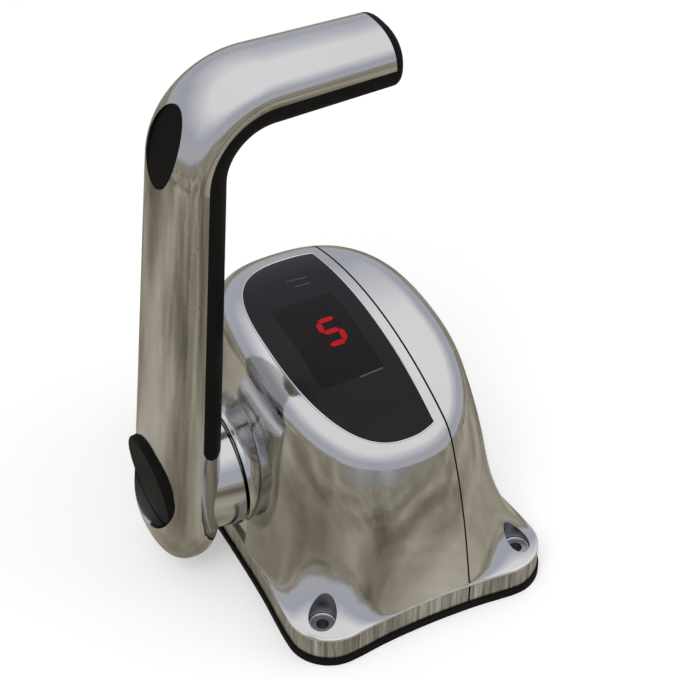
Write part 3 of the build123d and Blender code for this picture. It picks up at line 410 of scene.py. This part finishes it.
def bar(x, y, length, upright):
    """Six-cornered segment centred on a point."""
    half = length / 2 - SEGMENT_GAP
    side = SEGMENT_W / 2
    flat = half - side
    corners = [(-half, 0), (-flat, -side), (flat, -side), (half, 0), (flat, side), (-flat, side)]
    if upright:
        corners = [(-v, u) for u, v in corners]
    return leaning([(x + u, y + v) for u, v in corners])


across = DIGIT_W - SEGMENT_W
rise = (DIGIT_H - SEGMENT_W) / 2
SEGMENTS = {
    "top": bar(0, rise, across, False),
    "middle": bar(0, 0, across, False),
    "bottom": bar(0, -rise, across, False),
    "upper_left": bar(-across / 2, rise / 2, rise, True),
    "upper_right": bar(across / 2, rise / 2, rise, True),
    "lower_left": bar(-across / 2, -rise / 2, rise, True),
    "lower_right": bar(across / 2, -rise / 2, rise, True),
}
FIVE = ("top", "upper_left", "middle", "lower_right", "bottom")
lit_finish = lit("LitSegment", (0.50, 0.004, 0.009), 0.10)
dark_finish = lit("DarkSegment", (0.020, 0.003, 0.004), 0.0)
panel_mark("digit_lit", [SEGMENTS[n] for n in FIVE], lit_finish)
unlit = [v for n, v in SEGMENTS.items() if n not in FIVE]
panel_mark("digit_dark", unlit, dark_finish)


def dash(x0, y0, x1, y1, width):
    """Straight mark between two points of the panel."""
    along = Vector((x1 - x0, y1 - y0)).normalized()
    side = Vector((-along.y, along.x)) * width / 2
    start = Vector((x0, y0))
    end = Vector((x1, y1))
    return [tuple(p) for p in (start - side, end - side, end + side, start + side)]


mark_finish = lit("PrintedMark", (0.10, 0.10, 0.095), 0.0)
marks = [
    dash(-0.0066, 0.0262, 0.0012, 0.0252, 0.0007),
    dash(-0.0052, 0.0216, 0.0000, 0.0210, 0.0007),
    dash(-0.0054, -0.0287, 0.0038, -0.0282, 0.0006),
]
panel_mark("panel_dashes", marks, mark_finish)


# Beads along the edges, in a metal brighter than the housing: painted highlight along each edge
WAIST_STEPS = 16
EAR_STEPS = 20
PANEL_STEPS = 120
PANEL_SIDE_STEPS = 40
BEAD_SIDES = 12


def waist_radius(waist, ear_aside, ear_ahead):
    """Radius of the hollow arc that touches the waist point and both ears beside it."""
    offset = waist - ear_aside
    return (offset**2 + ear_ahead**2 - EAR_R**2) / (2 * (EAR_R - offset))


def flange_outline():
    """Closed run of points round the eared flange."""
    side_r = waist_radius(WAIST_X, EAR_X, EAR_Y)
    front_r = waist_radius(WAIST_Y, EAR_Y, EAR_X)
    side_cx = WAIST_X + side_r
    front_cy = WAIST_Y + front_r
    side_turn = atan2(EAR_Y, side_cx - EAR_X)
    front_turn = atan2(EAR_X, front_cy - EAR_Y)
    quarter = []
    for i in range(WAIST_STEPS):
        t = side_turn * i / WAIST_STEPS
        quarter.append((side_cx - side_r * cos(t), side_r * sin(t)))
    for i in range(EAR_STEPS + 1):
        t = -side_turn + (pi / 2 + front_turn + side_turn) * i / EAR_STEPS
        quarter.append((EAR_X + EAR_R * cos(t), EAR_Y + EAR_R * sin(t)))
    for i in reversed(range(WAIST_STEPS)):
        t = front_turn * i / WAIST_STEPS
        quarter.append((front_r * sin(t), front_cy - front_r * cos(t)))
    left = [(-x, y) for x, y in reversed(quarter[:-1])]
    front = [(-x, -y) for x, y in quarter[1:]]
    right = [(x, -y) for x, y in reversed(quarter[1:-1])]
    return quarter + left + front + right


def panel_outline(outset):
    """Closed run of points round the panel, over the crown."""
    centre = (PANEL_FRONT_Y + PANEL_BACK_Y) / 2
    half_y = (PANEL_BACK_Y - PANEL_FRONT_Y) / 2 + outset
    half_x = PANEL_HALF_X + outset
    side = PANEL_SIDE_X + outset
    power = PANEL_SQUARENESS
    reach_y = half_y * (1 - (side / half_x) ** power) ** (1 / power)
    start = atan2(reach_y / half_y, side / half_x)
    points = []
    for i in range(PANEL_STEPS + 1):
        t = start + (2 * pi - 2 * start) * i / PANEL_STEPS
        c = cos(t)
        s = sin(t)
        reach = (abs(c) ** power + abs(s) ** power) ** (1 / power)
        points.append((half_x * c / reach, centre + half_y * s / reach))
    last = points[-1]
    first = points[0]
    for i in range(1, PANEL_SIDE_STEPS):
        points.append((last[0], last[1] + (first[1] - last[1]) * i / PANEL_SIDE_STEPS))
    return points


def bead_tree():
    """Geometry tree that lays a round bead along an edge path."""
    tree = bpy.data.node_groups.new("EdgeBead", "GeometryNodeTree")
    side = tree.interface
    side.new_socket("Geometry", in_out="INPUT", socket_type="NodeSocketGeometry")
    side.new_socket("Bead radius", in_out="INPUT", socket_type="NodeSocketFloat")
    side.new_socket("Finish", in_out="INPUT", socket_type="NodeSocketMaterial")
    side.new_socket("Geometry", in_out="OUTPUT", socket_type="NodeSocketGeometry")
    enter = tree.nodes.new("NodeGroupInput")
    leave = tree.nodes.new("NodeGroupOutput")
    path = tree.nodes.new("GeometryNodeMeshToCurve")
    ring = tree.nodes.new("GeometryNodeCurvePrimitiveCircle")
    ring.inputs["Resolution"].default_value = BEAD_SIDES
    sweep = tree.nodes.new("GeometryNodeCurveToMesh")
    smooth = tree.nodes.new("GeometryNodeSetShadeSmooth")
    real = tree.nodes.new("GeometryNodeRealizeInstances")
    paint = tree.nodes.new("GeometryNodeSetMaterial")
    link = tree.links.new
    link(enter.outputs["Geometry"], path.inputs["Mesh"])
    link(enter.outputs["Bead radius"], ring.inputs["Radius"])
    link(path.outputs["Curve"], sweep.inputs["Curve"])
    link(ring.outputs["Curve"], sweep.inputs["Profile Curve"])
    link(sweep.outputs["Mesh"], smooth.inputs["Geometry"])
    link(smooth.outputs["Geometry"], real.inputs["Geometry"])
    link(real.outputs["Geometry"], paint.inputs["Geometry"])
    link(enter.outputs["Finish"], paint.inputs["Material"])
    link(paint.outputs["Geometry"], leave.inputs["Geometry"])
    return tree


bead = bead_tree()


def edge_bead(name, paths, radius, finish):
    """Round beads along closed paths, baked from the bead tree into one piece."""
    points = []
    edges = []
    for path in paths:
        first = len(points)
        count = len(path)
        points += path
        edges += [(first + i, first + (i + 1) % count) for i in range(count)]
    data = bpy.data.meshes.new(name + "_path")
    data.from_pydata(points, edges, [])
    holder = bpy.data.objects.new(name + "_path", data)
    bpy.context.scene.collection.objects.link(holder)
    modifier = holder.modifiers.new("Bead", "NODES")
    modifier.node_group = bead
    for socket in bead.interface.items_tree:
        if socket.name == "Bead radius":
            modifier[socket.identifier] = radius
        if socket.name == "Finish":
            modifier[socket.identifier] = finish.material
    ready = holder.evaluated_get(bpy.context.evaluated_depsgraph_get())
    made = bpy.data.meshes.new_from_object(ready)
    made.name = name
    bpy.data.objects.remove(holder)
    shell = bmesh.new()
    shell.from_mesh(made)
    bmesh.ops.recalc_face_normals(shell, faces=shell.faces)
    shell.to_mesh(made)
    shell.free()
    piece = bpy.data.objects.new(name, made)
    bpy.context.scene.collection.objects.link(piece)
    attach(piece, "base")
    return piece


def drawn_in(value, reach, inset):
    """A coordinate of the outline moved towards the middle by an inset."""
    return value - inset * max(-1.0, min(1.0, value / reach))


RIM_R = 0.0008
RIM_INSET = 0.00058
PANEL_RIM_R = 0.00032
PANEL_RIM_OUTSET = 0.00028
PANEL_RIM_DROP = 0.00012
SEAT_R = 0.00455
SEAT_Z = 0.01195
SEAT_BEAD_R = 0.00042
SEAT_STEPS = 40
rim = [
    (drawn_in(x, EAR_X, RIM_INSET), drawn_in(y, EAR_Y, RIM_INSET), FLANGE_TOP - RIM_INSET)
    for x, y in flange_outline()
]
edge_bead("flange_edge", [rim], RIM_R, highlight_rim_finish)
panel_rim = [
    (x, y, crown(y, PANEL_SINK - PANEL_RIM_DROP)) for x, y in panel_outline(PANEL_RIM_OUTSET)
]
edge_bead("panel_edge", [panel_rim], PANEL_RIM_R, highlight_rim_finish)


def seat_ring(x, y):
    """Closed circle round the screw seat of one deck hole."""
    turns = [2 * pi * i / SEAT_STEPS for i in range(SEAT_STEPS)]
    return [(x + SEAT_R * cos(t), y + SEAT_R * sin(t), SEAT_Z) for t in turns]


seats = [seat_ring(x, y) for x in (-HOLE_X, HOLE_X) for y in (-HOLE_Y, HOLE_Y)]
# Bright rings round the screw seats: painted highlight on each seat's edge
edge_bead("seat_rings", seats, SEAT_BEAD_R, highlight_rim_finish)


# Full-width root of the lever's hub, and the flared boss that it turns against
HUB_Z = 0.0375
RING_SIDES = 120
LOWEST_Z = 0.008
CREASE = radians(38)
ROOT_X = -0.0620
ROOT_R = 0.0203
ROOT_LENGTH = 0.0138
ROOT_SPREAD = 0.00255
ROOT_STEPS = 8
FLARE_X = -0.0461
FLARE_R = 0.0229
FLARE_DEPTH = 0.0073
FLARE_SPREAD = 0.0136
FLARE_CURVE = 1.8
FLARE_STEPS = 20


def turned_ring(name, profile, body, finish):
    """Ring turned round the hub's middle from a closed profile of places along x and radii."""
    mesh = bmesh.new()
    turns = [2 * pi * i / RING_SIDES for i in range(RING_SIDES)]
    rings = []
    for x, radius in profile:
        around = [(radius * cos(t), max(HUB_Z + radius * sin(t), LOWEST_Z)) for t in turns]
        rings.append([mesh.verts.new((x, y, z)) for y, z in around])
    for low, high in zip(rings, rings[1:] + rings[:1]):
        for i in range(RING_SIDES):
            j = (i + 1) % RING_SIDES
            mesh.faces.new((low[i], low[j], high[j], high[i]))
    bmesh.ops.recalc_face_normals(mesh, faces=mesh.faces)
    data = bpy.data.meshes.new(name)
    mesh.to_mesh(data)
    mesh.free()
    data.shade_smooth()
    data.set_sharp_from_angle(angle=CREASE)
    data.materials.append(finish.material)
    piece = bpy.data.objects.new(name, data)
    bpy.context.scene.collection.objects.link(piece)
    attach(piece, body)
    return piece


hub_root = [
    (ROOT_X + ROOT_LENGTH * i / ROOT_STEPS, ROOT_R + ROOT_SPREAD * i / ROOT_STEPS)
    for i in range(ROOT_STEPS + 1)
]
hub_root += [(-0.04775, 0.0225), (-0.0476, 0.0220), (-0.0476, 0.0120), (ROOT_X, 0.0120)]
flare = [
    (
        FLARE_X + FLARE_DEPTH * i / FLARE_STEPS,
        FLARE_R + FLARE_SPREAD * (i / FLARE_STEPS) ** FLARE_CURVE,
    )
    for i in range(FLARE_STEPS + 1)
]
inner_flare = [(x + 0.0010, radius - 0.0008) for x, radius in reversed(flare)]
flared_boss = [(-0.04675, 0.0150), (-0.04675, 0.0220), (-0.0466, 0.0226)]
flared_boss += flare + inner_flare + [(-0.0452, 0.0150)]
turned_ring("hub_root", hub_root, "lever", lever_finish)
turned_ring("flared_boss", flared_boss, "base", housing_finish)

# The black insert stays out of the mirror finishes, which would show it as a blot on the dome
nodes["grip_insert"].visible_glossy = False


# Studio: pale floor, white surroundings, soft lamps and the cards that the metal reflects
def seen_by_background_rays(tree):
    """1 for camera, glossy and transmission rays, else 0."""
    path = tree.nodes.new("ShaderNodeLightPath")
    total = path.outputs["Is Camera Ray"]
    for name in ("Is Glossy Ray", "Is Transmission Ray"):
        add = tree.nodes.new("ShaderNodeMath")
        add.operation = "MAXIMUM"
        tree.links.new(total, add.inputs[0])
        tree.links.new(path.outputs[name], add.inputs[1])
        total = add.outputs[0]
    return total


def flat_mesh(name, corners, faces):
    """Studio piece made of plain faces."""
    data = bpy.data.meshes.new(name)
    data.from_pydata(corners, [], faces)
    made = bpy.data.objects.new(name, data)
    bpy.context.scene.collection.objects.link(made)
    return made


def level_square(name, half, z):
    """Level square round the origin, part of the studio."""
    corners = [(-half, -half, z), (half, -half, z), (half, half, z), (-half, half, z)]
    return flat_mesh(name, corners, [(0, 1, 2, 3)])


floor = level_square("studio_floor", 6.0, 0.0)
floor_paint = Finish("FloorPaint", Roughness=0.9, Specular_IOR_Level=0.0)
floor_paint.colour(grey(0.86))
shown = seen_by_background_rays(floor_paint.tree)
lift = floor_paint.node("ShaderNodeMath", {"operation": "MULTIPLY"}, {0: shown, 1: 0.32})
floor_paint.shader.inputs["Emission Color"].default_value = (1, 1, 1, 1)
floor_paint.feed(floor_paint.shader.inputs["Emission Strength"], lift.outputs[0])
floor.data.materials.append(floor_paint.material)

world = bpy.data.worlds.new("Studio")
bpy.context.scene.world = world
world.use_nodes = True
sky = world.node_tree
backdrop = sky.nodes["Background"]
backdrop.inputs["Color"].default_value = (1, 1, 1, 1)
level = sky.nodes.new("ShaderNodeMapRange")
sky.links.new(seen_by_background_rays(sky), level.inputs["Value"])
level.inputs["To Min"].default_value = 0.62
level.inputs["To Max"].default_value = 1.0
sky.links.new(level.outputs["Result"], backdrop.inputs["Strength"])


def reflected_only(card):
    """A card that only the metal's reflections see."""
    card.visible_camera = False
    card.visible_diffuse = False
    card.visible_transmission = False
    card.visible_volume_scatter = False
    card.visible_shadow = False


def glow_only(finish, colour, strength=1.0):
    """Turn a finish into a plain glow of a colour socket."""
    finish.shader.inputs["Base Color"].default_value = (0, 0, 0, 1)
    finish.shader.inputs["Specular IOR Level"].default_value = 0.0
    finish.feed(finish.shader.inputs["Emission Color"], colour)
    finish.shader.inputs["Emission Strength"].default_value = strength


# Dull ground round the object, and the haze above the horizon
ground = level_square("ground_card", 5.0, 0.0004)
ground_paint = Finish("GroundCard")
patches = ground_paint.noise(5.5, 5.0, None, 0.60)
glow_only(
    ground_paint,
    ground_paint.ramp(
        patches,
        [
            (0.34, (0.120, 0.104, 0.080, 1)),
            (0.46, (0.26, 0.235, 0.178, 1)),
            (0.56, (0.43, 0.395, 0.318, 1)),
            (0.68, (0.60, 0.56, 0.48, 1)),
        ],
    ),
)
ground.data.materials.append(ground_paint.material)
reflected_only(ground)

HAZE_R = 4.8
HAZE_H = 6.0
HAZE_SIDES = 48
turns = [2 * pi * i / HAZE_SIDES for i in range(HAZE_SIDES)]
ring = [(HAZE_R * cos(t), HAZE_R * sin(t)) for t in turns]
corners = [(x, y, 0.0) for x, y in ring] + [(x, y, HAZE_H) for x, y in ring]
following = [(i + 1) % HAZE_SIDES for i in range(HAZE_SIDES)]
sides = [(i, j, HAZE_SIDES + j, HAZE_SIDES + i) for i, j in enumerate(following)]
wall = flat_mesh("haze_card", corners, sides)
haze_paint = Finish("HazeCard")
z = haze_paint.axes()[2]
clouds = haze_paint.noise(0.35, 3.0)
height = (z / HAZE_H + (clouds - 0.5) * 0.25).clamped()
glow_only(
    haze_paint,
    haze_paint.ramp(
        height,
        [
            (0.0, (0.30, 0.31, 0.30, 1)),
            (0.06, (0.54, 0.55, 0.59, 1)),
            (0.35, (0.50, 0.52, 0.59, 1)),
            (0.75, (0.84, 0.84, 0.89, 1)),
            (1.0, (1.0, 1.0, 1.0, 1)),
        ],
    ),
)
wall.data.materials.append(haze_paint.material)
reflected_only(wall)


def softbox(name, place, aim, size, power):
    """Square area lamp that lights but isn't mirrored."""
    data = bpy.data.lights.new(name, "AREA")
    data.energy = power
    data.size = size
    lamp = bpy.data.objects.new(name, data)
    lamp.visible_glossy = False
    bpy.context.scene.collection.objects.link(lamp)
    lamp.location = place
    lamp.rotation_euler = (Vector(aim) - Vector(place)).to_track_quat("-Z", "Y").to_euler()
    return lamp


softbox("key_lamp", (-0.9, -0.8, 1.6), (0, 0, 0.08), 0.9, 9.0)
softbox("fill_lamp", (1.3, -0.6, 1.0), (0, 0, 0.08), 1.0, 4.0)

# Camera of the photograph: turned to the left of straight ahead, looking down
AZIMUTH = radians(-27.758)
ELEVATION = radians(40.038)
SENSOR_W = 36.0
FOCAL_PIXELS = 1900.0
IMAGE_W = 680.0
camera_data = bpy.data.cameras.new("Camera")
camera_data.sensor_width = SENSOR_W
camera_data.lens = SENSOR_W * FOCAL_PIXELS / IMAGE_W
camera_data.clip_start = 0.05
camera = bpy.data.objects.new("Camera", camera_data)
bpy.context.scene.collection.objects.link(camera)
camera.location = (-0.2438, -0.4664, 0.5202)
camera.rotation_euler = (pi / 2 - ELEVATION, 0, AZIMUTH)
bpy.context.scene.camera = camera
bpy.context.scene.view_settings.view_transform = "Standard"
